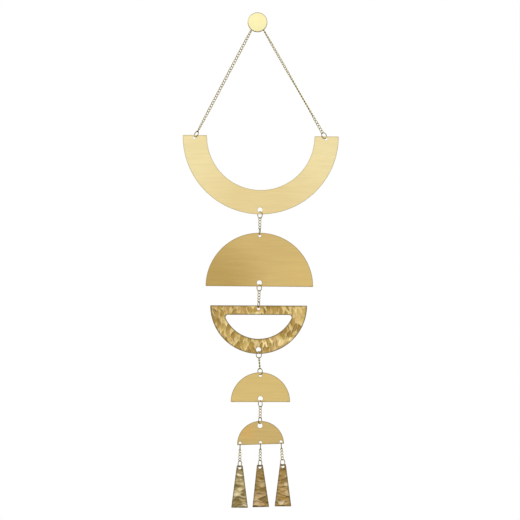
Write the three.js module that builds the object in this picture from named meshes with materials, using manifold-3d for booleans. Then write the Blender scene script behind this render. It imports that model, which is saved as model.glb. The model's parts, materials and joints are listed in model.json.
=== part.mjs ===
// A brass wall hanging: thin plates and three drops, joined by jump rings and short curb chains,
// on a longer chain that is draped over a round-headed pin.
// Millimetres, +Z up. The wall is the plane y = 0 and the front faces -Y. The origin is on the
// pin's axis, where the pin goes into the wall.
import * as THREE from "three";
import { mergeVertices } from "three/addons/utils/BufferGeometryUtils.js";
import Module from "manifold-3d";

const wasm = await Module();
wasm.setup();

// Wall pin
const pinHeadDiameter = 19.3;
const pinHeadThickness = 2.6;
const pinHeadDome = 0.3; // how far the middle of the face stands proud of its rim
const pinHeadEdge = 0.8; // rounding of the rim
const pinShankDiameter = 1.6;
const pinOutOfWall = 9; // from the wall to the back of the head
const pinInWall = 14;
const pinPoint = 4; // length of the tapered point

// Sheet metal, and how far the middle of every sheet hangs from the wall
const sheetThickness = 0.8;
const hangDepth = 5.5;
const plateCorner = 0.6; // rounding of a plate's corners

// Holes for the jump rings
const smallHole = 2.7;
const largeHole = 4.8;

// Jump rings
const ringOutside = 7.1;
const ringWire = 0.8;

// Curb chain: every link is twisted by a quarter turn, so that they all lie in one plane
const linkLength = 3.96;
const linkWidth = 3;
const linkWire = 0.65;
const linkTwist = 90;
const linkWeld = 0.1; // how far two links run into each other where they bear

// Clearance between two pieces that bear on each other
const play = 0.08;

// Half ring, open side up
const halfRingOutside = 76.2;
const halfRingInside = 52.5;
const halfRingEnds = 0.6; // the end edges stand this far above the middle of the arcs
const halfRingEndInset = 2.65; // from an end edge to the middle of its hole
const halfRingHoleShift = 0.5; // both end holes lie this far left of the middle of their ends
const halfRingBottomInset = 4.4;
const halfRingTilt = 0.6;

// Half disc, dome up
const halfDiscRadius = 52.5;
const halfDiscTopInset = 2.95;
const halfDiscBottomInset = 3.7;
const halfDiscTilt = 0.5;

// Hammered half ring: a half disc with its dome down, and a window below a straight bar
const hammeredRadius = 47.3;
const hammeredBar = 9.2;
const hammeredBand = 14.7; // width of metal below the window
const windowRadius = 35.7;
const windowCorner = 2.5;
const hammeredTopInset = 3.15;
const hammeredBottomInset = 4.1;
const hammeredTilt = 0.2;

// Small half disc, dome up
const smallDiscRadius = 29;
const smallDiscTopInset = 3.15;
const smallDiscBottomInset = 3.4;
const smallDiscTilt = 0;

// Bottom half disc, dome up, with a row of holes for the drops
const bottomDiscRadius = 22.9;
const bottomDiscTopInset = 4.5;
const bottomDiscRowInset = 2; // from the straight edge to the middles of the row
const bottomDiscRowEndInset = 2.9; // from each end of that edge to the middle of the last hole
const bottomDiscTilt = -1.8;

// Drops: hammered sheets that widen downwards
const dropHeight = 41.3;
const dropTopWidth = 5.8;
const dropBottomWidth = 16.3;
const dropHoleInset = 2.4;
const dropTilts = [0.3, -1.3, 0];

// Chain over the pin: two links lean on the shank, one to each side, and these are the links
// below them. A roll is the turn of a chain about its own line, in degrees, where 0 shows its
// flat side to the front. A yaw is the same turn of a jump ring, where 0 shows it round.
const leftLinks = 44;
const rightLinks = 45;
const seatFold = 92; // between the two links on the shank, in degrees
const seatTurn = 15; // how far round the shank they lie, clockwise, in degrees
const leftRolls = [90, 20, 10, 25, 15, 77];
const rightRolls = [90, 50, 45, 85, 95, 177];
const leftRingYaw = 122;
const rightRingYaw = 45;

// Short chains: a lean is clockwise seen from the front, in degrees
const shortLinks = 4;
const halfDiscHanging = { lean: 0.5, rolls: [0, 35], yaws: [-45, 80] };
const hammeredHanging = { lean: 1.6, rolls: [0, 28], yaws: [-45, 73] };
const smallDiscHanging = { lean: -4.2, rolls: [70, 93], yaws: [36, 134] };
const bottomDiscHanging = { lean: 0.8, rolls: [-9, 16], yaws: [-54, 61] };
const dropHangings = [
  { lean: 0.7, rolls: [-47, 1], yaws: [88, 58] },
  { lean: 1.4, rolls: [-47, -2], yaws: [88, 57] },
  { lean: -4.4, rolls: [-47, -7], yaws: [88, 46] },
];

// Facets
const arcError = 0.14; // how far a flat facet may lie inside its arc
const ringFacets = 8;
const linkFacets = 6;

const brass = (colour, roughness) =>
  new THREE.MeshStandardMaterial({ color: colour, roughness, metalness: 1 });
const paleBrass = brass(0xe6d49a, 0.35);
const warmBrass = brass(0xc9a961, 0.38);
const hammeredBrass = brass(0xb08d45, 0.3);
const wireBrass = brass(0xa8925c, 0.3);
const pinBrass = brass(0xf2e3a6, 0.3);

const part = new THREE.Group();

function add(name, geometry, material) {
  const mesh = new THREE.Mesh(geometry, material);
  mesh.name = name;
  part.add(mesh);
  return mesh;
}

// Booleans
function solid(geometry) {
  const bare = new THREE.BufferGeometry()
    .setAttribute("position", geometry.getAttribute("position"))
    .setIndex(geometry.getIndex());
  const merged = mergeVertices(bare, 1e-4);
  return new wasm.Manifold(
    new wasm.Mesh({
      numProp: 3,
      vertProperties: merged.getAttribute("position").array,
      triVerts: new Uint32Array(merged.getIndex().array),
    }),
  );
}

function geometryOf(manifold) {
  const mesh = manifold.getMesh();
  return new THREE.BufferGeometry()
    .setAttribute("position", new THREE.BufferAttribute(mesh.vertProperties, 3))
    .setIndex(new THREE.BufferAttribute(mesh.triVerts, 1));
}

// Outlines, in a plate's own plane: x to the right and z up
const at = (x, z) => new THREE.Vector2(x, z);

function facets(radius, angle) {
  const step = 2 * Math.acos(1 - arcError / Math.max(radius, 2 * arcError));
  return 2 * Math.ceil(Math.abs(angle) / step / 2);
}

function arc(centre, radius, from, to) {
  const steps = facets(radius, to - from);
  return Array.from({ length: steps + 1 }, (_, i) => {
    const angle = from + ((to - from) * i) / steps;
    return at(centre.x + radius * Math.cos(angle), centre.y + radius * Math.sin(angle));
  });
}

const hole = (x, z, diameter) => ({ centre: at(x, z), radius: diameter / 2 });

// A hole's flat facets touch its round from outside
function holeOutline({ centre, radius }) {
  const count = facets(radius, 2 * Math.PI);
  return arc(centre, radius / Math.cos(Math.PI / count), 0, 2 * Math.PI).slice(0, -1);
}

// The part of a disc below a level line, with its two corners rounded. The disc's middle is
// (0, middle), and up = 1 turns the whole outline over to make the part above the line.
function discBelow(level, radius, corner, middle = 0, up = -1) {
  const centre = at(0, middle);
  const round = at(0, level - corner);
  round.x = Math.sqrt((radius - corner) ** 2 - (round.y - middle) ** 2);
  const meeting = Math.atan2(round.y - middle, round.x);
  const right = arc(round, corner, Math.PI / 2, meeting);
  const left = right.map((p) => at(-p.x, p.y)).reverse();
  const bottom = arc(centre, radius, meeting, -Math.PI - meeting).slice(1, -1);
  return [...right, ...bottom, ...left].map((p) => at(p.x, -up * p.y));
}

// The part of a ring below a level line, with its four corners rounded. The ring's middle is
// (0, 0).
function ringBelow(level, outside, inside, corner) {
  const round = (distance) => {
    const z = level - corner;
    return at(Math.sqrt(distance ** 2 - z ** 2), z);
  };
  const outerRound = round(outside - corner);
  const innerRound = round(inside + corner);
  const outerMeeting = Math.atan2(outerRound.y, outerRound.x);
  const innerMeeting = Math.atan2(innerRound.y, innerRound.x);
  const outer = arc(outerRound, corner, Math.PI / 2, outerMeeting);
  const inner = arc(innerRound, corner, Math.PI + innerMeeting, Math.PI / 2);
  const mirrored = (points) => points.map((p) => at(-p.x, p.y)).reverse();
  return [
    ...outer,
    ...arc(at(0, 0), outside, outerMeeting, -Math.PI - outerMeeting).slice(1, -1),
    ...mirrored(outer),
    ...mirrored(inner),
    ...arc(at(0, 0), inside, -Math.PI - innerMeeting, innerMeeting).slice(1, -1),
    ...inner,
  ];
}

function roundedPolygon(corners, radius) {
  return corners.flatMap((corner, i) => {
    const before = corners.at(i - 1).clone().sub(corner).normalize();
    const after = corners[(i + 1) % corners.length].clone().sub(corner).normalize();
    const half = Math.acos(before.dot(after)) / 2;
    const middle = before.clone().add(after).normalize();
    const centre = corner.clone().addScaledVector(middle, radius / Math.sin(half));
    const from = Math.atan2(-before.x, before.y);
    const turned = Math.PI - 2 * half;
    return arc(centre, radius, from, from - turned);
  });
}

// Plates. A cutout runs counterclockwise, as a hole's outline does.
function plate(name, outline, holes, tilt, material, cutouts = []) {
  const shape = new THREE.Shape(outline);
  shape.holes = [...Object.values(holes).map(holeOutline), ...cutouts].map(
    (points) => new THREE.Path(points),
  );
  const geometry = new THREE.ExtrudeGeometry(shape, {
    depth: sheetThickness,
    bevelEnabled: false,
  });
  geometry.rotateX(Math.PI / 2).translate(0, sheetThickness / 2, 0);
  const mesh = add(name, geometry, material);
  mesh.rotation.y = THREE.MathUtils.degToRad(tilt);
  return { mesh, holes, tilt: mesh.rotation.y };
}

// From the plate's middle to one of its holes, as it hangs
const armTo = (piece, holeName) =>
  piece.holes[holeName].centre.clone().rotateAround(at(0, 0), -piece.tilt);

function putPlate(piece, x, z) {
  piece.mesh.position.set(x, -hangDepth, z);
}

const holeOn = (piece, holeName) =>
  at(piece.mesh.position.x, piece.mesh.position.z).add(armTo(piece, holeName));

const halfRingMiddle = (halfRingOutside + halfRingInside) / 2;
const halfRingHoleHeight = halfRingEnds - halfRingEndInset;
const halfRing = plate(
  "half_ring",
  ringBelow(halfRingEnds, halfRingOutside, halfRingInside, plateCorner),
  {
    left: hole(-halfRingMiddle - halfRingHoleShift, halfRingHoleHeight, smallHole),
    right: hole(halfRingMiddle - halfRingHoleShift, halfRingHoleHeight, smallHole),
    bottom: hole(0, halfRingBottomInset - halfRingOutside, largeHole),
  },
  halfRingTilt,
  paleBrass,
);

const halfDisc = plate(
  "large_half_disc",
  discBelow(0, halfDiscRadius, plateCorner, 0, 1),
  {
    top: hole(0, halfDiscRadius - halfDiscTopInset, smallHole),
    bottom: hole(0, halfDiscBottomInset, largeHole),
  },
  halfDiscTilt,
  warmBrass,
);

const windowMiddle = hammeredBand - hammeredRadius + windowRadius;
const hammered = plate(
  "hammered_half_ring",
  discBelow(0, hammeredRadius, plateCorner),
  {
    top: hole(0, -hammeredTopInset, smallHole),
    bottom: hole(0, hammeredBottomInset - hammeredRadius, largeHole),
  },
  hammeredTilt,
  hammeredBrass,
  [discBelow(-hammeredBar, windowRadius, windowCorner, windowMiddle).reverse()],
);

const smallDisc = plate(
  "small_half_disc",
  discBelow(0, smallDiscRadius, plateCorner, 0, 1),
  {
    top: hole(0, smallDiscRadius - smallDiscTopInset, smallHole),
    bottom: hole(0, smallDiscBottomInset, largeHole),
  },
  smallDiscTilt,
  warmBrass,
);

const bottomDiscRowSpacing = bottomDiscRadius - bottomDiscRowEndInset;
const bottomDisc = plate(
  "bottom_half_disc",
  discBelow(0, bottomDiscRadius, plateCorner, 0, 1),
  {
    top: hole(0, bottomDiscRadius - bottomDiscTopInset, largeHole),
    left: hole(-bottomDiscRowSpacing, bottomDiscRowInset, smallHole),
    middle: hole(0, bottomDiscRowInset, smallHole),
    right: hole(bottomDiscRowSpacing, bottomDiscRowInset, smallHole),
  },
  bottomDiscTilt,
  warmBrass,
);

const dropOutline = roundedPolygon(
  [
    at(-dropTopWidth / 2, 0),
    at(dropTopWidth / 2, 0),
    at(dropBottomWidth / 2, -dropHeight),
    at(-dropBottomWidth / 2, -dropHeight),
  ],
  plateCorner,
);
const dropNames = ["left", "middle", "right"];
const drops = dropNames.map((side, i) =>
  plate(
    "drop_" + side,
    dropOutline,
    { top: hole(0, -dropHoleInset, smallHole) },
    dropTilts[i],
    hammeredBrass,
  ),
);

// Wire pieces: a closed ring about the y axis, with a level facet at its top and bottom. The
// wire's section has four sides, and is as wide as the wire from edge to edge. The radius is to
// the wire's middle in the middle of a facet.
function wireRing(radius, wire, facetCount) {
  const half = wire / 2;
  const toCorner = 1 / Math.cos(Math.PI / facetCount);
  const section = [
    at((radius - half) * toCorner, 0),
    at(radius * toCorner, -half),
    at((radius + half) * toCorner, 0),
    at(radius * toCorner, half),
    at((radius - half) * toCorner, 0),
  ];
  return new THREE.LatheGeometry(section, facetCount, Math.PI / facetCount);
}

// A link stands along z: a ring of six facets, whose upper and lower halves are pulled apart to
// the link's length and turned about z
function link() {
  const level = ((linkWidth - linkWire) / 2) * Math.cos(Math.PI / linkFacets);
  const pull = (linkLength - linkWire) / 2 - level;
  const geometry = wireRing(level, linkWire, linkFacets);
  const position = geometry.getAttribute("position");
  const point = new THREE.Vector3();
  const along = new THREE.Vector3(0, 0, 1);
  for (let i = 0; i < position.count; i++) {
    point.fromBufferAttribute(position, i);
    const half = Math.sign(Math.round(point.z / level)); // 1 above, -1 below, 0 at the sides
    point.z += half * pull;
    point.applyAxisAngle(along, (half * THREE.MathUtils.degToRad(linkTwist)) / 2);
    position.setXYZ(i, ...point.toArray());
  }
  return geometry;
}

// The place of a wire piece whose own z points along up, in the plane that the plates hang in,
// turned about that line by a number of degrees
function placed(centre, up, turn) {
  const z = new THREE.Vector3(up.x, 0, up.y);
  const x = new THREE.Vector3(up.y, 0, -up.x).applyAxisAngle(z, THREE.MathUtils.degToRad(turn));
  const y = z.clone().cross(x);
  return new THREE.Matrix4().makeBasis(x, y, z).setPosition(centre.x, -hangDepth, centre.y);
}

const ringShape = wireRing((ringOutside - ringWire) / 2, ringWire, ringFacets);

function addRing(name, centre, up, turn) {
  const mesh = add(name, ringShape, wireBrass);
  placed(centre, up, turn).decompose(mesh.position, mesh.quaternion, mesh.scale);
}

function addChain(name, places) {
  const links = places.map((place) => solid(link().applyMatrix4(place)));
  add(name, geometryOf(links.reduce((chain, next) => chain.add(next))), wireBrass);
}

// The roll at a share of the way along a chain
function rollAt(rolls, share) {
  const place = share * (rolls.length - 1);
  const i = Math.min(Math.floor(place), rolls.length - 2);
  return THREE.MathUtils.lerp(rolls[i], rolls[i + 1], place - i);
}

const linkPitch = linkLength - 2 * linkWire + linkWeld;
const linkOverlap = linkWire - linkWeld; // how far a link's middle line reaches into the next link
// How far a twisted link's wire stands to the side of its chain's line
const linkSwing = ((linkWidth - linkWire) / 4) * Math.sin(THREE.MathUtils.degToRad(linkTwist) / 2);
const ringMiddle = ringOutside - ringWire;
const wireToEdge = ringWire / 2 + play; // a ring's wire in a hole, from the hole's edge
const wireToLink = (ringWire + linkWire) / 2 + play; // a ring's wire in a link, from its end

// Links from a start along a line
function linksFrom(start, down, count, rolls) {
  const up = down.clone().negate();
  return Array.from({ length: count }, (_, i) => {
    const centre = start.clone().addScaledVector(down, (i + 0.5) * linkPitch);
    return placed(centre, up, rollAt(rolls, i / Math.max(count - 1, 1)));
  });
}

// Hangs a plate from another by a ring, a short chain and a ring
function hang(name, upper, upperHole, lower, lowerHole, { lean, rolls, yaws }) {
  const down = at(0, -1).rotateAround(at(0, 0), -THREE.MathUtils.degToRad(lean));
  const up = down.clone().negate();
  const from = holeOn(upper, upperHole);
  const along = (distance) => from.clone().addScaledVector(down, distance);
  const upperRing = upper.holes[upperHole].radius - wireToEdge + ringMiddle / 2;
  const start = upperRing + ringMiddle / 2 - wireToLink + linkOverlap / 2;
  const end = start + shortLinks * linkPitch;
  const lowerRing = end + linkOverlap / 2 - wireToLink + ringMiddle / 2;
  addRing(name + "_upper_ring", along(upperRing), up, yaws[0]);
  addChain(name, linksFrom(along(start), down, shortLinks, rolls));
  addRing(name + "_lower_ring", along(lowerRing), up, yaws[1]);
  const to = along(lowerRing + ringMiddle / 2 - wireToEdge + lower.holes[lowerHole].radius);
  to.sub(armTo(lower, lowerHole));
  putPlate(lower, to.x, to.y);
}

// The pin
function pinGeometry() {
  const headRadius = pinHeadDiameter / 2;
  const shankRadius = pinShankDiameter / 2;
  const back = -pinOutOfWall;
  const front = back - pinHeadThickness;
  const rimFront = front + pinHeadDome;
  const face = headRadius - pinHeadEdge;
  const edge = arc(at(face, rimFront + pinHeadEdge), pinHeadEdge, -Math.PI / 2, 0);
  const profile = [
    at(0, front),
    at(face / 2, front + pinHeadDome / 4),
    ...edge,
    at(headRadius, back),
    at(shankRadius, back),
    at(shankRadius, pinInWall - pinPoint),
    at(0, pinInWall),
  ];
  return new THREE.LatheGeometry(profile, facets(headRadius, 2 * Math.PI));
}
add("wall_pin", pinGeometry(), pinBrass);

// The chain over the pin: the two links on the shank meet above it, and a straight run goes down
// from the outer end of each to a ring in the half ring's end
const slope = THREE.MathUtils.degToRad(seatFold / 2);
const roundShank = (point) => point.rotateAround(at(0, 0), -THREE.MathUtils.degToRad(seatTurn));
const shankToChain = (pinShankDiameter + linkWire) / 2 + linkSwing + play;
const crest = roundShank(at(0, shankToChain / Math.cos(slope)));
const runs = [
  { side: "left", links: leftLinks, rolls: leftRolls, yaw: leftRingYaw, sign: -1 },
  { side: "right", links: rightLinks, rolls: rightRolls, yaw: rightRingYaw, sign: 1 },
];
for (const run of runs) {
  run.overShank = roundShank(at(run.sign * Math.cos(slope), -Math.sin(slope)));
  run.start = crest.clone().addScaledVector(run.overShank, linkPitch);
  run.toRing = run.links * linkPitch + linkOverlap / 2 - wireToLink + ringMiddle / 2;
  run.toHole = run.toRing + ringMiddle / 2 - wireToEdge + halfRing.holes[run.side].radius;
}

// The half ring's middle is where both runs are at full reach: two circles cross there, each
// about a run's start less the arm from the half ring's middle to its hole
const [left, right] = runs.map((run) => run.start.clone().sub(armTo(halfRing, run.side)));
const across = right.clone().sub(left);
const width = across.length();
const foot = (runs[0].toHole ** 2 - runs[1].toHole ** 2 + width ** 2) / (2 * width);
const fall = Math.sqrt(runs[0].toHole ** 2 - foot ** 2);
across.normalize();
const middle = left.addScaledVector(across, foot).addScaledVector(at(-across.y, across.x), fall);
putPlate(halfRing, middle.x, middle.y);

const places = runs.map(({ side, links, rolls, yaw, start, overShank, toRing }) => {
  const down = holeOn(halfRing, side).sub(start).normalize();
  const centre = start.clone().addScaledVector(down, toRing);
  addRing(`hanging_chain_${side}_ring`, centre, down.clone().negate(), yaw);
  return [...linksFrom(crest, overShank, 1, rolls), ...linksFrom(start, down, links, rolls)];
});
addChain("hanging_chain", [...places[0].reverse(), ...places[1]]);

// Everything below, from the top down
hang("large_half_disc_chain", halfRing, "bottom", halfDisc, "top", halfDiscHanging);
hang("hammered_half_ring_chain", halfDisc, "bottom", hammered, "top", hammeredHanging);
hang("small_half_disc_chain", hammered, "bottom", smallDisc, "top", smallDiscHanging);
hang("bottom_half_disc_chain", smallDisc, "bottom", bottomDisc, "top", bottomDiscHanging);
drops.forEach((piece, i) => {
  const side = dropNames[i];
  hang(`drop_${side}_chain`, bottomDisc, side, piece, "top", dropHangings[i]);
});

export default part;
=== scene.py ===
# Looks of a brass wall hanging: plain satin and hammered sheets, jump rings, curb chains and the
# pin that it hangs on. Sizes are in millimetres and turned to metres where a mesh is made. The
# front faces -Y and the wall would be the plane y = 0.
import json
import math
import random

import bpy
import numpy as np
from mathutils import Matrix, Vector
from mathutils.geometry import delaunay_2d_cdt


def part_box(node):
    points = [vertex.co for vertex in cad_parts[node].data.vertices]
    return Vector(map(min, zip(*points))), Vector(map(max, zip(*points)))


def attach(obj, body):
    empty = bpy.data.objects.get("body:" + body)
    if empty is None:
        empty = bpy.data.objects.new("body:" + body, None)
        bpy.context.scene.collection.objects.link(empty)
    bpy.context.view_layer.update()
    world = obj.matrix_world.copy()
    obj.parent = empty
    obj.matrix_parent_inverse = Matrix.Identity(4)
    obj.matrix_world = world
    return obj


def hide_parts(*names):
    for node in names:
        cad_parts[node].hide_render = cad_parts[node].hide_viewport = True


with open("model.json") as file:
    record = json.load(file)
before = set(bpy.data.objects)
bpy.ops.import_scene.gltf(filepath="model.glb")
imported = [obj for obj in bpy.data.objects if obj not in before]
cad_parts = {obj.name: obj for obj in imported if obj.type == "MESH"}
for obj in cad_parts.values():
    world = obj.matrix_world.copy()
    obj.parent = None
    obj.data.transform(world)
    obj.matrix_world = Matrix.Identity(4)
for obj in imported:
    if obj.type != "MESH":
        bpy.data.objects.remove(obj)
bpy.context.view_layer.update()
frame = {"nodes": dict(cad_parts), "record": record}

MM = 0.001

# Pin
PIN_HEAD_DIAMETER = 19.3
PIN_HEAD_DOME = 0.3
PIN_HEAD_THICKNESS = 2.6
PIN_HEAD_EDGE = 0.8
PIN_SHANK_DIAMETER = 1.6
PIN_OUT_OF_WALL = 9
PIN_IN_WALL = 14
PIN_POINT = 4
PIN_STEPS = 96
PIN_DOME_STEPS = 12
PIN_DOME_REACH = 0.95  # share of the way to the head's rounded edge that the dome's steps cover
PIN_NECK = (1.02, 0.02)  # where the shank meets the head: a share of its radius, and a length
PIN_SHOULDER = (0.97, 0.3, 0.1)  # the same at its point, with lengths before and after the bend
PIN_TIP = (0.06, 0.2)  # radius and length of the blunt tip

# Sheet metal
SHEET = 0.8
CORNER = 0.6
SMALL_HOLE = 2.7
LARGE_HOLE = 4.8
ARC_ERROR = 0.004
LONGEST_EDGE = 4
BURR = 0.14  # how far the cut edge is rounded over
BURR_STEPS = 4
EDGE_CONTOURS = (0.32, 0.55, 0.8, 1.1, 1.5)  # distances of lines of points along the edges
CONTOUR_CLEARANCE = 0.97  # share of its distance that a contour's point keeps from all edges
GRID_CLEARANCE = 0.6  # share of its spacing that a grid's point keeps from the last contour
SAME_POINT = 1e-7  # distance under which points count as one
SLIVER = 1e-6  # area under which a triangle only joins points of one straight edge
EDGE_SHADE_FADE = 0.55  # how far the darker line along a cut edge reaches: painted shade, for the dark reflections of the rounded edge
# the same painted shade reaches further on hammered sheet
HAMMERED_EDGE_SHADE_FADE = 1
HOLE_EDGE_SHADE = 0.4  # how strong that painted shade is round a hole

# Half ring, open side up
HALF_RING_OUTSIDE = 76.2
HALF_RING_INSIDE = 52.5
HALF_RING_ENDS = 0.6
HALF_RING_END_INSET = 2.65
HALF_RING_HOLE_SHIFT = 0.5
HALF_RING_BOTTOM_INSET = 4.4
HALF_RING_TILT = 0.6

# Half discs, dome up
HALF_DISC_RADIUS = 52.5
HALF_DISC_TOP_INSET = 2.95
HALF_DISC_BOTTOM_INSET = 3.7
HALF_DISC_TILT = 0.5
SMALL_DISC_RADIUS = 29
SMALL_DISC_TOP_INSET = 3.15
SMALL_DISC_BOTTOM_INSET = 3.4
BOTTOM_DISC_RADIUS = 22.9
BOTTOM_DISC_TOP_INSET = 4.5
BOTTOM_DISC_ROW_INSET = 2
BOTTOM_DISC_ROW_END_INSET = 2.9
BOTTOM_DISC_TILT = -1.8

# Hammered half ring, dome down
HAMMERED_RADIUS = 47.3
HAMMERED_BAR = 9.2
HAMMERED_BAND = 14.7
WINDOW_RADIUS = 35.7
WINDOW_CORNER = 2.5
HAMMERED_TOP_INSET = 3.15
HAMMERED_BOTTOM_INSET = 4.1
HAMMERED_TILT = 0.2

# Drops
DROP_HEIGHT = 41.3
DROP_TOP_WIDTH = 5.8
DROP_BOTTOM_WIDTH = 16.3
DROP_HOLE_INSET = 2.4
DROP_TILTS = {"left": 0.3, "middle": -1.3, "right": 0}

# Wire
RING_OUTSIDE = 7.1
RING_WIRE = 0.8
RING_CUT = 0.12  # width of the cut where a jump ring is bent shut
RING_CUT_SIDES = (90, 270)  # where the cuts are, in degrees from the top, give or take a spread
RING_CUT_SPREAD = 25
RING_CUT_SEED = 3
LINK_LENGTH = 3.96
LINK_WIDTH = 3
LINK_WIRE = 0.65
LINK_TWIST = 90
LINK_ROUNDNESS = 0.8  # 1 for an oval link, and less for squarer shoulders
LINK_WELD = 0.1  # how far the wire of a link sinks into the next
LINK_PITCH = LINK_LENGTH - 2 * LINK_WIRE + LINK_WELD
# About how far the wire of a twisted link swings out of the link's own plane
LINK_SWING = (LINK_WIDTH - LINK_WIRE) / 4 * math.sin(math.radians(LINK_TWIST) / 2)
WIRE_SIDES = 10
RING_STEPS = 56
LINK_STEPS = 32

# Chain over the pin, and how each chain turns about its own line from its top down, in degrees
LEFT_LINKS = 44
RIGHT_LINKS = 45
SEAT_FOLD = 92  # how far the chain bends over the shank
SEAT_TURN = 15  # how far that bend is turned clockwise
PLAY = 0.08  # gap between the shank and the links on it
LEFT_ROLLS = [90, 20, 10, 25, 15, 77]
RIGHT_ROLLS = [90, 50, 45, 85, 95, 177]
SHORT_LINKS = 4
SHORT_ROLLS = {
    "large_half_disc": [0, 35],
    "hammered_half_ring": [0, 28],
    "small_half_disc": [70, 93],
    "bottom_half_disc": [-9, 16],
    "drop_left": [-47, 1],
    "drop_middle": [-47, -2],
    "drop_right": [-47, -7],
}

# Hammer marks
MARK_MESH = 0.42  # spacing of the mesh that carries them
MARKED_EDGE = 1.5  # longest step along a marked sheet's edge, in spacings of that mesh
MARK_DEPTH = 0.4
BACK_SHARE = 0.5  # how much of the marks shows on the back
WAVE = 0.5  # how far, and over which length, the marks wander off their straight lines
WAVE_LENGTH = 2.3
STROKE_SHIFT = 0.5  # how far a stroke lies off its place at most, in spacings
STROKE_WIDTHS = (0.7, 1.35)  # least and greatest, as shares of the width asked for
STROKE_LENGTHS = (0.7, 1.4)
STROKE_DEPTHS = (0.45, 1)

# Strokes: their spacing along x and z, how far they reach from their middle across and along, and
# their angle from +x in degrees, give or take a spread
HAMMERED_STROKES = {"spacing": (3.3, 5.2), "width": 1.9, "length": 4.4, "angle": 86, "spread": 28}
HAMMERED_SEED = 14
DROP_STROKES = {"spacing": (5, 3.1), "width": 2.1, "length": 4.6, "angle": 4, "spread": 26}
DROP_SEEDS = {"left": 31, "middle": 32, "right": 33}

# Finish, with scales for coordinates in metres
EVEN = (1, 1, 1)
NOISE_ROUGHNESS = 0.55
NARROW_RANGE = (0.35, 0.65)  # of a noise's values
WIDE_RANGE = (0.3, 0.7)
PATCH_FADE = (0, 0.6)  # where a patch begins and is full, as shares of the way to its middle
SATIN_LIGHT_AND_SHADE_PATCH = 1  # how much of its colour a patch of painted light and shade gets at most
SATIN_DRIFT = 16
SATIN_GRAIN = (40, 400, 2600)
SATIN_GRAIN_SHADE = 0.08
SATIN_ROUGHNESS = (-0.04, 0.05)  # added where the grain is low and where it is high
SATIN_RELIEF = (0.25, 0.01)  # strength, and height in millimetres
HAMMERED_PATCH = 0.55
RIDGE_RANGE = (0.05, 0.35)  # of the dents' depths
# how far the ridges lean towards the brightest tone at most: a painted highlight
RIDGE_HIGHLIGHT = 0.35
STREAK_RANGE = (0.45, 0.7)
STREAK_SHADE = 0.4
STREAK_ROUGHNESS = (-0.04, 0.06)
STREAK_RELIEF = (0.5, 0.25)
HAMMER_FACE_GRAIN = 1400
HAMMER_FACE_RELIEF = (0.15, 0.02)
WIRE_TARNISH = 450
WIRE_ROUGHNESS = (-0.05, 0.1)
WIRE_DIE_MARKS = 2500
WIRE_RELIEF = (0.2, 0.01)
PIN_DRIFT = 90
PIN_TURNING = 420
PIN_TURNING_WANDER = 1.5
PIN_ROUGHNESS = (-0.03, 0.03)
PIN_RELIEF = (0.15, 0.01)

# Studio, in metres
FLOOR_Z = -1.2
FLOOR_SIZE = 8
FLOOR_COLOUR = (0.93, 0.93, 0.92, 1)
FLOOR_ROUGHNESS = 0.9
FLOOR_GLOW = 0.36
FLOOR_GLOW_COLOUR = (1, 1, 0.99, 1)
PANEL_PLACE = (-1.6, -1.2, 0.9)
PANEL_SIZE = (0.9, 1.2)
PANEL_POWER = 6  # watts
VIEW_MIDDLE = (0.0024, -0.0055, -0.2318)  # the point of the object in the middle of the view
VIEW_WIDTH = 0.508
CAMERA_DISTANCE = 2.4
SENSOR_WIDTH = 36  # millimetres

# How bright the surround is, from the sides (0) to straight in front and behind (1), and how
# much of that is left from straight below (0) over level (0.5) to straight above (1)
PANELS = [(0, 0.3), (0.3, 0.35), (0.55, 1.2), (0.74, 0.55), (0.86, 0.4), (0.95, 1.08), (1, 1.08)]
HEIGHTS = [(0, 0.15), (0.25, 0.5), (0.5, 1), (0.75, 1.15), (0.9, 0.9), (1, 0.6)]


# Where the solids are, and what each is made of
slots = {part["node"]: part["material_slot"] for part in frame["record"]["subparts"]}


def node_middle(node):
    low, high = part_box(node)
    return (low + high) / 2 / MM


def in_plane(node):
    """The (x, z) of a solid's middle."""
    middle = node_middle(node)
    return np.array([middle.x, middle.z])


HANG_Y = node_middle("half_ring").y


# Outlines, as lists of (x, z) in a plate's own plane
def facets(radius, angle):
    step = 2 * math.acos(1 - ARC_ERROR / max(radius, 2 * ARC_ERROR))
    return max(2, 2 * math.ceil(abs(angle) / step / 2))


def arc(x, z, radius, start, end):
    steps = facets(radius, end - start)
    angles = np.linspace(start, end, steps + 1)
    return [(x + radius * math.cos(a), z + radius * math.sin(a)) for a in angles]


def mirrored(points):
    return [(-x, z) for x, z in reversed(points)]


def upside_down(points):
    return [(x, -z) for x, z in reversed(points)]


def disc_below(level, radius, corner, middle=0):
    """The part of a disc below a level line, clockwise from its right corner."""
    z = level - corner
    x = math.sqrt((radius - corner) ** 2 - (z - middle) ** 2)
    meeting = math.atan2(z - middle, x)
    right = arc(x, z, corner, math.pi / 2, meeting)
    bottom = arc(0, middle, radius, meeting, -math.pi - meeting)[1:-1]
    return right + bottom + mirrored(right)


def ring_below(level, outside, inside, corner):
    """The part of a ring below a level line, clockwise from its outer right corner."""
    z = level - corner
    outer_x = math.sqrt((outside - corner) ** 2 - z**2)
    inner_x = math.sqrt((inside + corner) ** 2 - z**2)
    outer_meeting = math.atan2(z, outer_x)
    inner_meeting = math.atan2(z, inner_x)
    outer = arc(outer_x, z, corner, math.pi / 2, outer_meeting)
    inner = arc(inner_x, z, corner, math.pi + inner_meeting, math.pi / 2)
    outside_arc = arc(0, 0, outside, outer_meeting, -math.pi - outer_meeting)[1:-1]
    inside_arc = arc(0, 0, inside, -math.pi - inner_meeting, inner_meeting)[1:-1]
    return outer + outside_arc + mirrored(outer) + mirrored(inner) + inside_arc + inner


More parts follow.
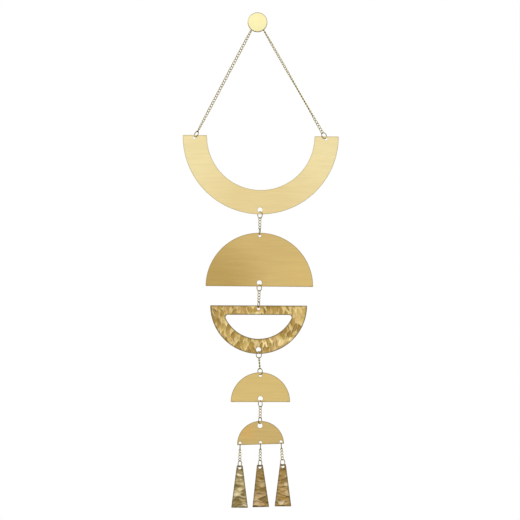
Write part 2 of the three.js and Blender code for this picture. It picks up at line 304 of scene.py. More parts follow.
def rounded_polygon(corners, radius):
    """A convex polygon given clockwise, with its corners rounded."""
    points = []
    for i, corner in enumerate(corners):
        corner = Vector(corner)
        before = (Vector(corners[i - 1]) - corner).normalized()
        after = (Vector(corners[(i + 1) % len(corners)]) - corner).normalized()
        half = before.angle(after) / 2
        centre = corner + (before + after).normalized() * radius / math.sin(half)
        start = math.atan2(-before.x, before.y)
        points += arc(centre.x, centre.y, radius, start, start - (math.pi - 2 * half))
    return points


def hole(x, z, diameter):
    return arc(x, z, diameter / 2, 0, 2 * math.pi)[:-1]


def divided(loop, longest):
    """A loop with its long straight edges cut into shorter ones."""
    points = []
    for a, b in zip(loop, np.roll(loop, -1, 0)):
        count = math.ceil(np.linalg.norm(b - a) / longest)
        points += [a + (b - a) * i / count for i in range(count)]
    return np.array(points)


def inset(loop, distance):
    """A loop moved to its right by a distance, which is into the metal on every loop here."""
    points = np.array(loop)
    ahead = np.roll(points, -1, 0) - points
    ahead /= np.linalg.norm(ahead, axis=1)[:, None]
    right = np.stack([ahead[:, 1], -ahead[:, 0]], 1)
    both = right + np.roll(right, 1, 0)
    both /= (both * both).sum(1)[:, None] / 2
    return points + both * distance


# Pieces
def add_piece(name, vertices, faces, smooth, material, node, attributes=None):
    """Makes a piece from points in millimetres, in place of a solid."""
    mesh = bpy.data.meshes.new(name)
    mesh.from_pydata([Vector(v) * MM for v in vertices], [], faces)
    mesh.polygons.foreach_set("use_smooth", smooth)
    for key, values in (attributes or {}).items():
        mesh.attributes.new(key, "FLOAT", "POINT").data.foreach_set("value", values)
    mesh.materials.append(material)
    mesh.validate()
    mesh.update()
    piece = bpy.data.objects.new(name, mesh)
    bpy.context.scene.collection.objects.link(piece)
    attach(piece, "root")
    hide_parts(node)


def turned(points, degrees):
    """Points in a plate's plane, turned clockwise seen from the front."""
    a = math.radians(degrees)
    points = np.asarray(points, float)
    x, z = points[:, 0], points[:, 1]
    return np.stack([x * math.cos(a) + z * math.sin(a), z * math.cos(a) - x * math.sin(a)], 1)


def inside(points, loop):
    """Which points lie inside a closed loop."""
    x, z = points[:, 0], points[:, 1]
    result = np.zeros(len(points), bool)
    for (x0, z0), (x1, z1) in zip(loop, np.roll(loop, -1, 0)):
        if z0 == z1:
            continue
        crosses = ((z0 > z) != (z1 > z)) & (x < (x1 - x0) * (z - z0) / (z1 - z0) + x0)
        result ^= crosses
    return result


def distance_to(points, loop):
    """How far points lie from a closed loop."""
    nearest = np.full(len(points), np.inf)
    for a, b in zip(loop, np.roll(loop, -1, 0)):
        along = b - a
        share = np.clip((points - a) @ along / (along @ along), 0, 1)
        gap = points - a - share[:, None] * along
        nearest = np.minimum(nearest, np.hypot(gap[:, 0], gap[:, 1]))
    return nearest


def points_between(loops, spacing):
    """Points on lines along the loops, and on a grid between them if a spacing is given."""
    kept = []
    for distance in EDGE_CONTOURS:
        points = np.concatenate([inset(loop, distance) for loop in loops])
        points = points[inside(points, loops[0])]
        clear = np.min([distance_to(points, loop) for loop in loops], 0)
        kept.append(points[clear > distance * CONTOUR_CLEARANCE])
    if spacing:
        low, high = loops[0].min(0), loops[0].max(0)
        xs = np.arange(low[0], high[0], spacing)
        zs = np.arange(low[1], high[1], spacing * math.sqrt(3) / 2)
        grid = np.stack(np.meshgrid(xs, zs), -1).astype(float)
        grid[1::2, :, 0] += spacing / 2
        grid = grid.reshape(-1, 2)
        grid = grid[inside(grid, loops[0])]
        for loop in loops[1:]:
            grid = grid[~inside(grid, loop)]
        clear = np.min([distance_to(grid, loop) for loop in loops], 0)
        kept.append(grid[clear > EDGE_CONTOURS[-1] + spacing * GRID_CLEARANCE])
    return np.concatenate(kept)


def fill(loops, between):
    """Triangles between an outer loop and the holes in it, counterclockwise, with more points in
    between. The loops' own points come first and keep their order."""
    points = np.concatenate([*loops, between])
    edges, start = [], 0
    for loop in loops:
        count = len(loop)
        edges += [(start + i, start + (i + 1) % count) for i in range(count)]
        start += count
    made = delaunay_2d_cdt([Vector(p) for p in points], edges, [], 0, SAME_POINT)
    assert len(made[0]) == len(points), "the loops cross"
    triangles = np.array(made[2])
    middles = points[triangles].mean(1)
    keep = inside(middles, loops[0])
    for loop in loops[1:]:
        keep &= ~inside(middles, loop)
    triangles = triangles[keep]
    a, b, c = (points[triangles[:, i]] for i in range(3))
    ahead, across = b - a, c - a
    area = (ahead[:, 0] * across[:, 1] - ahead[:, 1] * across[:, 0]) / 2
    triangles[area < 0] = triangles[area < 0][:, ::-1]
    return points, triangles[abs(area) > SLIVER]


def edge_profile():
    """The way over a sheet's rounded edge, from front to back, as (inset, depth)."""
    angles = np.linspace(math.pi / 2, 0, BURR_STEPS + 1)[1:]
    front = [(BURR - BURR * math.cos(a), BURR - BURR * math.sin(a)) for a in angles]
    return front + [(i, SHEET - d) for i, d in reversed(front)]


def make_plate(node, outline, holes, tilt, material, marks=None, cutouts=()):
    """A sheet with rounded edges. Its outline runs clockwise, and its holes and cutouts run
    counterclockwise, seen from the front. Marks is what hammer_marks gives. The mesh keeps how
    near each point is to an edge, for the painted shade along the edges, and the dents and tones
    of the marks."""
    longest = MARK_MESH * MARKED_EDGE if marks else LONGEST_EDGE
    loops = [divided(np.array(loop), longest) for loop in (outline, *cutouts, *holes)]
    # How strong the painted edge shade is on the outline, the cutouts and the holes
    edge_shade_strengths = [1] * (1 + len(cutouts)) + [HOLE_EDGE_SHADE] * len(holes)
    corners = turned(outline, tilt)
    place = in_plane(node) - (corners.min(0) + corners.max(0)) / 2
    front_y = node_middle(node).y - SHEET / 2
    between = points_between(loops, MARK_MESH if marks else None)
    flat, triangles = fill([inset(loop, BURR) for loop in loops], between)

    points, depths, faces, smooth = [], [], [], []

    def add_points(plane_points, depth):
        first = sum(len(p) for p in points)
        points.append(plane_points)
        depths.append(np.full(len(plane_points), depth))
        return first

    front = add_points(flat, 0)
    back = add_points(flat, SHEET)
    faces += [tuple(front + t) for t in triangles]
    faces += [tuple(back + t[::-1]) for t in triangles]
    smooth += [marks is not None] * len(faces)
    start = 0
    for loop in loops:
        count = len(loop)
        rows = [front + start]
        rows += [add_points(inset(loop, i), d) for i, d in edge_profile()]
        rows.append(back + start)
        for upper, lower in zip(rows, rows[1:]):
            for i in range(count):
                j = (i + 1) % count
                faces.append((upper + i, upper + j, lower + j, lower + i))
        smooth += [True] * (count * (len(rows) - 1))
        start += count

    plane = np.concatenate(points)
    depth = np.concatenate(depths)
    # Painted shade: a darker line along each cut edge and round each hole, for the dark
    # reflections of the rounded edges
    edge_shade_reach = HAMMERED_EDGE_SHADE_FADE if marks else EDGE_SHADE_FADE
    lines = [strength * np.exp(-(distance_to(plane, loop) / edge_shade_reach) ** 2)
             for strength, loop in zip(edge_shade_strengths, loops)]
    attributes = {"edge": np.max(lines, 0)}
    if marks:
        dent, tone = marks(plane)
        attributes.update(dent=dent, tone=tone)
        share = 1 - (1 - BACK_SHARE) * depth / SHEET
        depth = depth + (dent - 0.5) * MARK_DEPTH * share
    hung = turned(plane, tilt) + place
    vertices = np.stack([hung[:, 0], front_y + depth, hung[:, 1]], 1)
    add_piece(node + "_sheet", vertices, faces, smooth, material, node, attributes)


def hammer_marks(seed, low, high, spacing, width, length, angle, spread):
    """Overlapping strokes of a hammer with a narrow face, between two corners (x, z). Gives a
    function for how deep they are at points, from 0 on the ridges to 1 in the deepest dents, and
    for the tone from 0 to 1 that each stroke has to itself, which is partly a painted reflection
    of its facet."""
    chance = random.Random(seed)
    strokes = []
    for z in np.arange(low[1] - spacing[1], high[1] + spacing[1], spacing[1]):
        for x in np.arange(low[0] - spacing[0], high[0] + spacing[0], spacing[0]):
            centre = (x + chance.uniform(-STROKE_SHIFT, STROKE_SHIFT) * spacing[0],
                      z + chance.uniform(-STROKE_SHIFT, STROKE_SHIFT) * spacing[1])
            turn = math.radians(angle + chance.uniform(-spread, spread))
            half_width = width * chance.uniform(*STROKE_WIDTHS)
            half_length = length * chance.uniform(*STROKE_LENGTHS)
            strength = chance.uniform(*STROKE_DEPTHS)
            strokes.append((centre, turn, half_width, half_length, strength, chance.random()))

    def depth_and_tone(points):
        points = points + WAVE * np.sin(points[:, ::-1] / WAVE_LENGTH + seed)
        deepest, tone = np.zeros(len(points)), np.full(len(points), 0.5)
        for (x, z), turn, half_width, half_length, strength, own_tone in strokes:
            dx, dz = points[:, 0] - x, points[:, 1] - z
            near = np.flatnonzero(np.hypot(dx, dz) < max(half_width, half_length))
            along = dx[near] * math.cos(turn) + dz[near] * math.sin(turn)
            across = dz[near] * math.cos(turn) - dx[near] * math.sin(turn)
            bowl = strength * (1 - (along / half_length) ** 2 - (across / half_width) ** 2)
            deeper = bowl > deepest[near]
            deepest[near[deeper]] = bowl[deeper]
            tone[near[deeper]] = own_tone
        return deepest, tone

    return depth_and_tone


def sweep(path, radius, closed):
    """A round wire along a path round the middle (0, 0, 0)."""
    path = np.array(path, float)
    if closed:
        along = np.roll(path, -1, 0) - np.roll(path, 1, 0)
    else:
        along = np.gradient(path, axis=0)
    along /= np.linalg.norm(along, axis=1)[:, None]
    out = path - (path * along).sum(1)[:, None] * along
    out /= np.linalg.norm(out, axis=1)[:, None]
    side = np.cross(along, out)
    angles = np.arange(WIRE_SIDES) * 2 * math.pi / WIRE_SIDES
    circle = np.cos(angles)[:, None, None] * out + np.sin(angles)[:, None, None] * side
    vertices = (path + radius * circle).transpose(1, 0, 2).reshape(-1, 3)
    faces = []
    count = len(path)
    for i in range(count if closed else count - 1):
        a, b = i * WIRE_SIDES, (i + 1) % count * WIRE_SIDES
        for j in range(WIRE_SIDES):
            k = (j + 1) % WIRE_SIDES
            faces.append((a + j, a + k, b + k, b + j))
    if not closed:
        last = (count - 1) * WIRE_SIDES
        faces.append(tuple(reversed(range(WIRE_SIDES))))
        faces.append(tuple(range(last, last + WIRE_SIDES)))
    return vertices, faces


def link_path():
    """The middle line of a link that stands along z, twisted about z."""
    half_width = (LINK_WIDTH - LINK_WIRE) / 2
    half_length = (LINK_LENGTH - LINK_WIRE) / 2
    path = []
    for t in np.arange(LINK_STEPS) * 2 * math.pi / LINK_STEPS:
        x = half_width * math.copysign(abs(math.cos(t)) ** LINK_ROUNDNESS, math.cos(t))
        z = half_length * math.sin(t)
        twist = math.radians(LINK_TWIST) / 2 * math.sin(t)
        path.append((x * math.cos(twist), x * math.sin(twist), z))
    return path


def place_link(centre, up, roll):
    """The turn and place of a link whose z points up along its chain."""
    z = np.array([up[0], 0, up[1]])
    level = np.array([up[1], 0, -up[0]])
    depth = np.cross(z, level)
    a = math.radians(roll)
    x = level * math.cos(a) + depth * math.sin(a)
    return np.stack([x, np.cross(z, x), z], 1), np.array(centre)


def roll_at(rolls, share):
    return float(np.interp(share * (len(rolls) - 1), range(len(rolls)), rolls))


def links_along(start, down, count, rolls):
    """Places of links from a start along a line. Points and directions are (x, z)."""
    places = []
    for i in range(count):
        centre = start + down * (i + 0.5) * LINK_PITCH
        roll = roll_at(rolls, i / max(count - 1, 1))
        places.append(place_link((centre[0], HANG_Y, centre[1]), -down, roll))
    return places


def make_chain(node, places, material):
    vertices, faces = [], []
    link_vertices, link_faces = sweep(link_path(), LINK_WIRE / 2, True)
    for turn, centre in places:
        first = len(vertices) * len(link_vertices)
        vertices.append(link_vertices @ turn.T + centre)
        faces += [tuple(first + i for i in face) for face in link_faces]
    smooth = [True] * len(faces)
    add_piece(node + "_links", np.concatenate(vertices), faces, smooth, material, node)


def make_ring(node, material, cut_at):
    """A jump ring in the plane of its solid, with its cut at an angle from the top."""
    corners = np.array([v.co for v in frame["nodes"][node].data.vertices]) / MM
    middle = np.array(node_middle(node))
    axis = np.linalg.svd(corners - middle, full_matrices=False)[2][2]
    top = np.array([0, 0, 1]) - axis[2] * axis
    top /= np.linalg.norm(top)
    right = np.cross(axis, top)
    radius = (RING_OUTSIDE - RING_WIRE) / 2
    half_cut = RING_CUT / 2 / radius
    start = math.radians(cut_at)
    path = [radius * (math.cos(a) * top + math.sin(a) * right)
            for a in np.linspace(start + half_cut, start + 2 * math.pi - half_cut, RING_STEPS)]
    vertices, faces = sweep(path, RING_WIRE / 2, False)
    smooth = [True] * (len(faces) - 2) + [False] * 2
    add_piece(node + "_wire", vertices + middle, faces, smooth, material, node)


def lathe(profile, steps):
    """Turns a profile of (radius, y), from axis to axis, about the y axis."""
    vertices, faces = [(0, profile[0][1], 0)], []
    for radius, y in profile[1:-1]:
        for a in np.arange(steps) * 2 * math.pi / steps:
            vertices.append((radius * math.cos(a), y, radius * math.sin(a)))
    vertices.append((0, profile[-1][1], 0))
    last = len(vertices) - 1
    rows = len(profile) - 2
    for i in range(steps):
        j = (i + 1) % steps
        faces.append((0, 1 + i, 1 + j))
        for row in range(rows - 1):
            a, b = 1 + row * steps, 1 + (row + 1) * steps
            faces.append((a + i, b + i, b + j, a + j))
        a = 1 + (rows - 1) * steps
        faces.append((a + i, last, a + j))
    return vertices, faces


def make_pin(material):
    head, shank = PIN_HEAD_DIAMETER / 2, PIN_SHANK_DIAMETER / 2
    back = -PIN_OUT_OF_WALL
    front = back - PIN_HEAD_THICKNESS
    face = head - PIN_HEAD_EDGE
    shares = np.linspace(0, PIN_DOME_REACH, PIN_DOME_STEPS)
    dome = [(face * r, front + PIN_HEAD_DOME * r * r) for r in shares]
    rim = arc(face, front + PIN_HEAD_DOME + PIN_HEAD_EDGE, PIN_HEAD_EDGE, -math.pi / 2, 0)
    behind = arc(head - BURR, back - BURR, BURR, 0, math.pi / 2)
    neck_share, neck_length = PIN_NECK
    neck = [(head / 2, back), (shank * neck_share, back), (shank, back + neck_length)]
    bend_share, before, after = PIN_SHOULDER
    bend = PIN_IN_WALL - PIN_POINT
    tip_radius, tip_length = PIN_TIP
    point = [(shank, bend - before), (shank * bend_share, bend + after),
             (tip_radius, PIN_IN_WALL - tip_length), (0, PIN_IN_WALL)]
    vertices, faces = lathe(dome + rim + behind + neck + point, PIN_STEPS)
    vertices = np.array(vertices)
    radius = np.hypot(vertices[:, 0], vertices[:, 2])
    # How far out on the head's rim a point is, for the painted shade there
    edge = np.clip((radius - face) / PIN_HEAD_EDGE, 0, 1)
    smooth = [True] * len(faces)
    add_piece("wall_pin_nail", vertices, faces, smooth, material, "wall_pin", {"edge": edge})


# Materials
def nodes_of(material):
    material.use_nodes = True
    tree = material.node_tree
    return tree.nodes, tree.links, tree.nodes["Principled BSDF"]


def new_metal(name):
    material = bpy.data.materials.new(name)
    nodes, links, shader = nodes_of(material)
    shader.inputs["Metallic"].default_value = 1
    return material, nodes, links, shader


def noise(nodes, links, stretch, scale, detail):
    """Noise in object space. The stretch along x, y and z multiplies the scale."""
    place = nodes.new("ShaderNodeTexCoord")
    mapping = nodes.new("ShaderNodeMapping")
    mapping.inputs["Scale"].default_value = stretch
    texture = nodes.new("ShaderNodeTexNoise")
    texture.inputs["Scale"].default_value = scale
    texture.inputs["Detail"].default_value = detail
    texture.inputs["Roughness"].default_value = NOISE_ROUGHNESS
    links.new(place.outputs["Object"], mapping.inputs["Vector"])
    links.new(mapping.outputs["Vector"], texture.inputs["Vector"])
    return texture.outputs["Fac"]


def glow(nodes, links, x, z, radius):
    """1 at a point (x, z) in millimetres, falling to 0 at a radius from it."""
    place = nodes.new("ShaderNodeTexCoord")
    mapping = nodes.new("ShaderNodeMapping")
    mapping.inputs["Location"].default_value = (-x / radius, 0, -z / radius)
    mapping.inputs["Scale"].default_value = [1 / (radius * MM)] * 3
    gradient = nodes.new("ShaderNodeTexGradient")
    gradient.gradient_type = "SPHERICAL"
    links.new(place.outputs["Object"], mapping.inputs["Vector"])
    links.new(mapping.outputs["Vector"], gradient.inputs["Vector"])
    return gradient.outputs["Fac"]


def remap(nodes, links, value, from_range, to_range):
    node = nodes.new("ShaderNodeMapRange")
    node.inputs["From Min"].default_value, node.inputs["From Max"].default_value = from_range
    node.inputs["To Min"].default_value, node.inputs["To Max"].default_value = to_range
    links.new(value, node.inputs["Value"])
    return node.outputs["Result"]


def mix(nodes, links, factor, a, b, blend="MIX"):
    """Mixes two colours, each a socket or three numbers."""
    node = nodes.new("ShaderNodeMix")
    node.data_type = "RGBA"
    node.blend_type = blend
    for value, socket in ((factor, "Factor"), (a, "A"), (b, "B")):
        target = [s for s in node.inputs if s.name == socket and s.enabled][0]
        if isinstance(value, bpy.types.NodeSocket):
            links.new(value, target)
        elif socket == "Factor":
            target.default_value = value
        else:
            target.default_value = (*value, 1)
    return [s for s in node.outputs if s.enabled][0]


def ramp(nodes, links, value, stops):
    """A colour for each value, between stops of (position, colour)."""
    node = nodes.new("ShaderNodeValToRGB")
    elements = node.color_ramp.elements
    while len(elements) < len(stops):
        elements.new(0.5)
    for element, (position, colour) in zip(elements, stops):
        element.position = position
        element.color = (*colour, 1)
    links.new(value, node.inputs["Fac"])
    return node.outputs["Color"]


def attribute(nodes, name):
    node = nodes.new("ShaderNodeAttribute")
    node.attribute_name = name
    return node.outputs["Fac"]


def bump(nodes, links, height, strength, distance, normal=None):
    node = nodes.new("ShaderNodeBump")
    node.inputs["Strength"].default_value = strength
    node.inputs["Distance"].default_value = distance * MM
    links.new(height, node.inputs["Height"])
    if normal:
        links.new(normal, node.inputs["Normal"])
    return node.outputs["Normal"]


def patched(nodes, links, tone, patches, most):
    """A tone with patches in it, each (x, z, radius, colour) in millimetres. Most is how much of
    its colour a patch gets in its middle."""
    for x, z, radius, colour in patches:
        share = remap(nodes, links, glow(nodes, links, x, z, radius), PATCH_FADE, (0, most))
        tone = mix(nodes, links, share, tone, colour)
    return tone


def vary_roughness(nodes, links, shader, value, value_range, roughness, change):
    """Roughness that follows a value. Change is what is added at its low and its high end."""
    rough = remap(nodes, links, value, value_range, [roughness + step for step in change])
    links.new(rough, shader.inputs["Roughness"])


def satin_brass(name, colour, drift_colour, edge_shade_colour, roughness, patches=()):
    """Plain sheet: fine brushed grain, broad drifts of tone, and painted shade along its edges.
    Patches are painted light and shade: darker and lighter places where the soft light falls
    unevenly on the sheet."""
    material, nodes, links, shader = new_metal(name)
    drift = noise(nodes, links, EVEN, SATIN_DRIFT, detail=2)
    drift = remap(nodes, links, drift, NARROW_RANGE, (0, 1))
    tone = mix(nodes, links, drift, colour, drift_colour)
    # Painted light and shade: darker and lighter patches where the soft light falls unevenly
    tone = patched(nodes, links, tone, patches, SATIN_LIGHT_AND_SHADE_PATCH)
    grain = noise(nodes, links, SATIN_GRAIN, scale=1, detail=3)
    lines = remap(nodes, links, grain, WIDE_RANGE, (0, SATIN_GRAIN_SHADE))
    # The grain's darker lines lean towards the colour of the painted edge shade
    tone = mix(nodes, links, lines, tone, edge_shade_colour)
    # Painted shade along the edges and round the holes
    tone = mix(nodes, links, attribute(nodes, "edge"), tone, edge_shade_colour)
    links.new(tone, shader.inputs["Base Color"])
    vary_roughness(nodes, links, shader, grain, WIDE_RANGE, roughness, SATIN_ROUGHNESS)
    links.new(bump(nodes, links, grain, *SATIN_RELIEF), shader.inputs["Normal"])
    return material


def hammered_brass(name, tones, edge_shade_colour, roughness, stretch, patches=()):
    """Hammered sheet: each stroke has its own tone, partly a painted reflection of its facet,
    with a painted highlight on its ridges and fine streaks. Patches are darker and lighter places
    in the tone, given as on plain sheet."""
    material, nodes, links, shader = new_metal(name)
    tone = ramp(nodes, links, attribute(nodes, "tone"), tones)
    tone = patched(nodes, links, tone, patches, HAMMERED_PATCH)
    # Painted highlight: the ridges between the dents lean towards the brightest tone
    ridge_highlight = remap(nodes, links, attribute(nodes, "dent"), RIDGE_RANGE, (RIDGE_HIGHLIGHT, 0))
    tone = mix(nodes, links, ridge_highlight, tone, tones[-1][1])
    streak = noise(nodes, links, stretch, scale=1, detail=3)
    dark = remap(nodes, links, streak, STREAK_RANGE, (0, STREAK_SHADE))
    tone = mix(nodes, links, dark, tone, tones[0][1])
    # Painted shade along the edges and round the hole
    tone = mix(nodes, links, attribute(nodes, "edge"), tone, edge_shade_colour)
    links.new(tone, shader.inputs["Base Color"])
    vary_roughness(nodes, links, shader, streak, WIDE_RANGE, roughness, STREAK_ROUGHNESS)
    coarse = bump(nodes, links, streak, *STREAK_RELIEF)
    fine = noise(nodes, links, EVEN, HAMMER_FACE_GRAIN, detail=2)
    links.new(bump(nodes, links, fine, *HAMMER_FACE_RELIEF, coarse), shader.inputs["Normal"])
    return material


def wire_brass(name, colour, dull, roughness):
    """Drawn wire: small patches of tarnish and fine die marks."""
    material, nodes, links, shader = new_metal(name)
    patch = noise(nodes, links, EVEN, WIRE_TARNISH, detail=3)
    share = remap(nodes, links, patch, NARROW_RANGE, (0, 1))
    tone = mix(nodes, links, share, colour, dull)
    links.new(tone, shader.inputs["Base Color"])
    vary_roughness(nodes, links, shader, patch, WIDE_RANGE, roughness, WIRE_ROUGHNESS)
    fine = noise(nodes, links, EVEN, WIRE_DIE_MARKS, detail=2)
    links.new(bump(nodes, links, fine, *WIRE_RELIEF), shader.inputs["Normal"])
    return material


def pin_brass(name, colour, drift_colour, edge_shade_colour, roughness):
    """Turned head: fine rings about the pin's axis, and painted shade on its rounded side."""
    material, nodes, links, shader = new_metal(name)
    place = nodes.new("ShaderNodeTexCoord")
    rings = nodes.new("ShaderNodeTexWave")
    rings.wave_type = "RINGS"
    rings.rings_direction = "Y"
    rings.inputs["Scale"].default_value = PIN_TURNING
    rings.inputs["Distortion"].default_value = PIN_TURNING_WANDER
    rings.inputs["Detail"].default_value = 2
    links.new(place.outputs["Object"], rings.inputs["Vector"])
    drift = noise(nodes, links, EVEN, PIN_DRIFT, detail=3)
    drift = remap(nodes, links, drift, NARROW_RANGE, (0, 1))
    tone = mix(nodes, links, drift, colour, drift_colour)
    # Painted shade on the head's rounded rim, for its dark reflections from below
    tone = mix(nodes, links, attribute(nodes, "edge"), tone, edge_shade_colour)
    links.new(tone, shader.inputs["Base Color"])
    turning = rings.outputs["Fac"]
    vary_roughness(nodes, links, shader, turning, (0, 1), roughness, PIN_ROUGHNESS)
    links.new(bump(nodes, links, turning, *PIN_RELIEF), shader.inputs["Normal"])
    return material


# On plain sheet the patches are painted light and shade, and the edge colour is painted shade
# along the edges
pale = satin_brass(
    "pale_satin_brass", colour=(0.98, 0.83, 0.445), drift_colour=(0.97, 0.81, 0.425),
    edge_shade_colour=(0.58, 0.49, 0.25), roughness=0.36, patches=[(3, -183, 70, (0.91, 0.725, 0.35))])
warm = satin_brass(
    "warm_satin_brass", colour=(0.77, 0.56, 0.215), drift_colour=(0.75, 0.54, 0.205),
    edge_shade_colour=(0.40, 0.30, 0.11), roughness=0.38,
    patches=[(-48, -262, 62, (0.60, 0.41, 0.132)), (52, -262, 50, (0.81, 0.585, 0.215))])
small = satin_brass(
    "small_satin_brass", colour=(0.85, 0.635, 0.245), drift_colour=(0.83, 0.615, 0.235),
    edge_shade_colour=(0.40, 0.30, 0.11), roughness=0.38)
lowest = satin_brass(
    "lowest_satin_brass", colour=(0.745, 0.545, 0.21), drift_colour=(0.735, 0.53, 0.205),
    edge_shade_colour=(0.34, 0.25, 0.09), roughness=0.38, patches=[(-10, -400, 12, (0.82, 0.52, 0.17))])
# Each stroke's tone on hammered sheet is partly a painted reflection of its facet; the brightest
# tone is also the ridges' painted highlight, and the edge colour is painted shade
streaky = hammered_brass(
    "hammered_brass",
    tones=[(0, (0.33, 0.21, 0.05)), (0.18, (0.44, 0.27, 0.08)), (0.4, (0.46, 0.33, 0.08)),
           (0.6, (0.64, 0.41, 0.18)), (0.78, (0.68, 0.50, 0.16)), (1, (0.98, 0.82, 0.43))],
    edge_shade_colour=(0.17, 0.125, 0.045), roughness=0.13, stretch=(300, 300, 120),
    patches=[(40, -282, 13, (0.84, 0.65, 0.26)), (-13, -280, 9, (0.64, 0.41, 0.16)),
             (-42, -290, 18, (0.34, 0.20, 0.045)), (-12, -313, 15, (0.48, 0.32, 0.085)),
             (18, -312, 10, (0.62, 0.42, 0.18))])
olive = hammered_brass(
    "olive_hammered_brass",
    tones=[(0, (0.22, 0.16, 0.055)), (0.45, (0.41, 0.31, 0.13)), (0.7, (0.53, 0.42, 0.21)),
           (1, (0.94, 0.82, 0.53))],
    edge_shade_colour=(0.15, 0.12, 0.05), roughness=0.16, stretch=(160, 300, 420))
brown = hammered_brass(
    "brown_hammered_brass",
    tones=[(0, (0.25, 0.16, 0.05)), (0.4, (0.39, 0.26, 0.09)), (0.7, (0.52, 0.35, 0.17)),
           (1, (0.7, 0.54, 0.28))],
    edge_shade_colour=(0.17, 0.12, 0.05), roughness=0.2, stretch=(160, 300, 420))
orange = hammered_brass(
    "orange_hammered_brass",
    tones=[(0, (0.28, 0.18, 0.055)), (0.4, (0.42, 0.26, 0.08)), (0.7, (0.48, 0.33, 0.14)),
           (1, (0.8, 0.66, 0.42))],
    edge_shade_colour=(0.17, 0.12, 0.05), roughness=0.2, stretch=(160, 300, 420),
    patches=[(25, -456, 8, (0.56, 0.30, 0.09))])
link_wire = wire_brass(
    "link_wire_brass", colour=(0.76, 0.61, 0.13), dull=(0.44, 0.35, 0.07), roughness=0.24)
# The rings' wire is brass made darker than the links': partly painted shade, for the shadows and
# dark reflections on the thin rings
ring_wire = wire_brass(
    "ring_wire_brass", colour=(0.52, 0.42, 0.12), dull=(0.26, 0.21, 0.06), roughness=0.22)
pin_metal = pin_brass(
    "pin_brass", colour=(1, 0.92, 0.5), drift_colour=(1, 0.89, 0.47),
    edge_shade_colour=(0.5, 0.42, 0.22), roughness=0.3)

# Plates, from the top down
half_ring_middle = (HALF_RING_OUTSIDE + HALF_RING_INSIDE) / 2
half_ring_hole_z = HALF_RING_ENDS - HALF_RING_END_INSET
make_plate(
    "half_ring",
    ring_below(HALF_RING_ENDS, HALF_RING_OUTSIDE, HALF_RING_INSIDE, CORNER),
    [hole(-half_ring_middle - HALF_RING_HOLE_SHIFT, half_ring_hole_z, SMALL_HOLE),
     hole(half_ring_middle - HALF_RING_HOLE_SHIFT, half_ring_hole_z, SMALL_HOLE),
     hole(0, HALF_RING_BOTTOM_INSET - HALF_RING_OUTSIDE, LARGE_HOLE)],
    HALF_RING_TILT, pale)
make_plate(
    "large_half_disc",
    upside_down(disc_below(0, HALF_DISC_RADIUS, CORNER)),
    [hole(0, HALF_DISC_RADIUS - HALF_DISC_TOP_INSET, SMALL_HOLE),
     hole(0, HALF_DISC_BOTTOM_INSET, LARGE_HOLE)],
    HALF_DISC_TILT, warm)
window_middle = HAMMERED_BAND - HAMMERED_RADIUS + WINDOW_RADIUS
make_plate(
    "hammered_half_ring",
    disc_below(0, HAMMERED_RADIUS, CORNER),
    [hole(0, -HAMMERED_TOP_INSET, SMALL_HOLE),
     hole(0, HAMMERED_BOTTOM_INSET - HAMMERED_RADIUS, LARGE_HOLE)],
    HAMMERED_TILT, streaky,
    hammer_marks(HAMMERED_SEED, (-HAMMERED_RADIUS, -HAMMERED_RADIUS), (HAMMERED_RADIUS, 0),
                 **HAMMERED_STROKES),
    [disc_below(-HAMMERED_BAR, WINDOW_RADIUS, WINDOW_CORNER, window_middle)[::-1]])
make_plate(
    "small_half_disc",
    upside_down(disc_below(0, SMALL_DISC_RADIUS, CORNER)),
    [hole(0, SMALL_DISC_RADIUS - SMALL_DISC_TOP_INSET, SMALL_HOLE),
     hole(0, SMALL_DISC_BOTTOM_INSET, LARGE_HOLE)],
    0, small)
row_spacing = BOTTOM_DISC_RADIUS - BOTTOM_DISC_ROW_END_INSET
make_plate(
    "bottom_half_disc",
    upside_down(disc_below(0, BOTTOM_DISC_RADIUS, CORNER)),
    [hole(0, BOTTOM_DISC_RADIUS - BOTTOM_DISC_TOP_INSET, LARGE_HOLE)]
    + [hole(side * row_spacing, BOTTOM_DISC_ROW_INSET, SMALL_HOLE) for side in (-1, 0, 1)],
    BOTTOM_DISC_TILT, lowest)
drop_outline = rounded_polygon(
    [(-DROP_TOP_WIDTH / 2, 0), (DROP_TOP_WIDTH / 2, 0),
     (DROP_BOTTOM_WIDTH / 2, -DROP_HEIGHT), (-DROP_BOTTOM_WIDTH / 2, -DROP_HEIGHT)], CORNER)
for side, material in (("left", olive), ("middle", brown), ("right", orange)):
    marks = hammer_marks(DROP_SEEDS[side], (-DROP_BOTTOM_WIDTH / 2, -DROP_HEIGHT),
                         (DROP_BOTTOM_WIDTH / 2, 0), **DROP_STROKES)
    drop_hole = hole(0, -DROP_HOLE_INSET, SMALL_HOLE)
    make_plate("drop_" + side, drop_outline, [drop_hole], DROP_TILTS[side], material, marks)

# Pin
make_pin(pin_metal)

# Jump rings
cut_chance = random.Random(RING_CUT_SEED)
for node in sorted(slots):
    if node.endswith("_ring") and "chain" in node:
        cut_at = cut_chance.choice(RING_CUT_SIDES)
        cut_at += cut_chance.uniform(-RING_CUT_SPREAD, RING_CUT_SPREAD)
        make_ring(node, ring_wire, cut_at)

# Short chains, each between the two rings at its ends
for below, rolls in SHORT_ROLLS.items():
    chain = below + "_chain"
    top, bottom = in_plane(chain + "_upper_ring"), in_plane(chain + "_lower_ring")
    down = (bottom - top) / np.linalg.norm(bottom - top)
    first = (top + bottom) / 2 - down * SHORT_LINKS / 2 * LINK_PITCH
    make_chain(chain, links_along(first, down, SHORT_LINKS, rolls), link_wire)

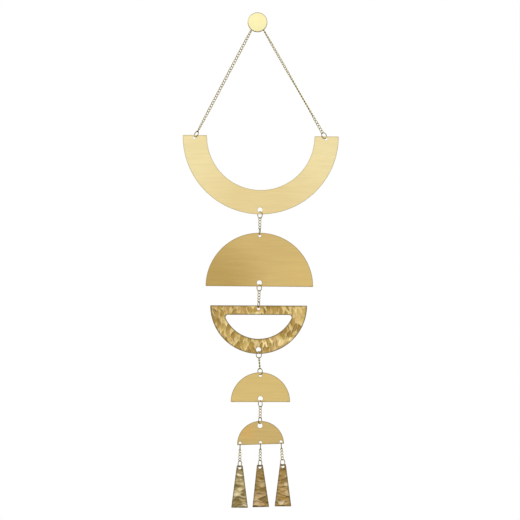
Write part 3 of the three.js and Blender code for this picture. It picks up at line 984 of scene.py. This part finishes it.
# The chain over the pin: a link leans on each side of the shank, and a run goes down from it
half_fold = math.radians(SEAT_FOLD / 2)
shank_to_chain = (PIN_SHANK_DIAMETER + LINK_WIRE) / 2 + LINK_SWING + PLAY
crest = turned([(0, shank_to_chain / math.cos(half_fold))], SEAT_TURN)[0]
places = []
for side, sign, count, rolls in (
    ("left", -1, LEFT_LINKS, LEFT_ROLLS),
    ("right", 1, RIGHT_LINKS, RIGHT_ROLLS),
):
    over = turned([(sign * math.cos(half_fold), -math.sin(half_fold))], SEAT_TURN)[0]
    start = crest + over * LINK_PITCH
    down = in_plane(f"hanging_chain_{side}_ring") - start
    down /= np.linalg.norm(down)
    places += links_along(crest, over, 1, rolls)
    places += links_along(start, down, count, rolls)
make_chain("hanging_chain", places, link_wire)


# Studio: a pale floor well below, a white surround, and soft light from the front
def make_floor():
    half = FLOOR_SIZE / 2
    mesh = bpy.data.meshes.new("floor")
    corners = [(-half, -half, 0), (half, -half, 0), (half, half, 0), (-half, half, 0)]
    mesh.from_pydata(corners, [], [(0, 1, 2, 3)])
    floor = bpy.data.objects.new("floor", mesh)
    floor.location.z = FLOOR_Z
    floor.visible_glossy = False
    bpy.context.scene.collection.objects.link(floor)
    material = bpy.data.materials.new("floor_paint")
    shader = nodes_of(material)[2]
    shader.inputs["Base Color"].default_value = FLOOR_COLOUR
    shader.inputs["Roughness"].default_value = FLOOR_ROUGHNESS
    shader.inputs["Emission Color"].default_value = FLOOR_GLOW_COLOUR
    shader.inputs["Emission Strength"].default_value = FLOOR_GLOW
    mesh.materials.append(material)


def grey_ramp(nodes, links, value, stops):
    return ramp(nodes, links, value, [(position, [level] * 3) for position, level in stops])


def make_world():
    """White to the camera, and brighter and darker panels in what lights the object."""
    world = bpy.data.worlds.new("studio")
    bpy.context.scene.world = world
    world.use_nodes = True
    nodes, links = world.node_tree.nodes, world.node_tree.links
    nodes.clear()
    out = nodes.new("ShaderNodeOutputWorld")
    switch = nodes.new("ShaderNodeMixShader")
    seen = nodes.new("ShaderNodeBackground")
    seen.inputs["Color"].default_value = (1, 1, 1, 1)
    around = nodes.new("ShaderNodeBackground")
    path = nodes.new("ShaderNodeLightPath")
    place = nodes.new("ShaderNodeTexCoord")
    split = nodes.new("ShaderNodeSeparateXYZ")
    links.new(place.outputs["Generated"], split.inputs["Vector"])
    facing = nodes.new("ShaderNodeMath")
    facing.operation = "ABSOLUTE"
    links.new(split.outputs["Y"], facing.inputs[0])
    panels = grey_ramp(nodes, links, facing.outputs["Value"], PANELS)
    height = remap(nodes, links, split.outputs["Z"], (-1, 1), (0, 1))
    heights = grey_ramp(nodes, links, height, HEIGHTS)
    links.new(mix(nodes, links, 1, panels, heights, "MULTIPLY"), around.inputs["Color"])
    links.new(path.outputs["Is Camera Ray"], switch.inputs["Fac"])
    links.new(around.outputs["Background"], switch.inputs[1])
    links.new(seen.outputs["Background"], switch.inputs[2])
    links.new(switch.outputs["Shader"], out.inputs["Surface"])


def make_panel():
    light = bpy.data.lights.new("upper_left_panel", "AREA")
    light.shape = "RECTANGLE"
    light.size, light.size_y = PANEL_SIZE
    light.energy = PANEL_POWER
    panel = bpy.data.objects.new("upper_left_panel", light)
    panel.location = PANEL_PLACE
    aim = Vector(VIEW_MIDDLE) - Vector(PANEL_PLACE)
    panel.rotation_euler = aim.to_track_quat("-Z", "Y").to_euler()
    bpy.context.scene.collection.objects.link(panel)


def make_camera():
    data = bpy.data.cameras.new("camera")
    data.sensor_width = SENSOR_WIDTH
    data.lens = SENSOR_WIDTH * CAMERA_DISTANCE / VIEW_WIDTH
    camera = bpy.data.objects.new("camera", data)
    camera.location = Vector(VIEW_MIDDLE) - Vector((0, CAMERA_DISTANCE, 0))
    camera.rotation_euler = (math.pi / 2, 0, 0)
    bpy.context.scene.collection.objects.link(camera)
    bpy.context.scene.camera = camera


make_floor()
make_world()
make_panel()
make_camera()
bpy.context.scene.view_settings.view_transform = "Standard"
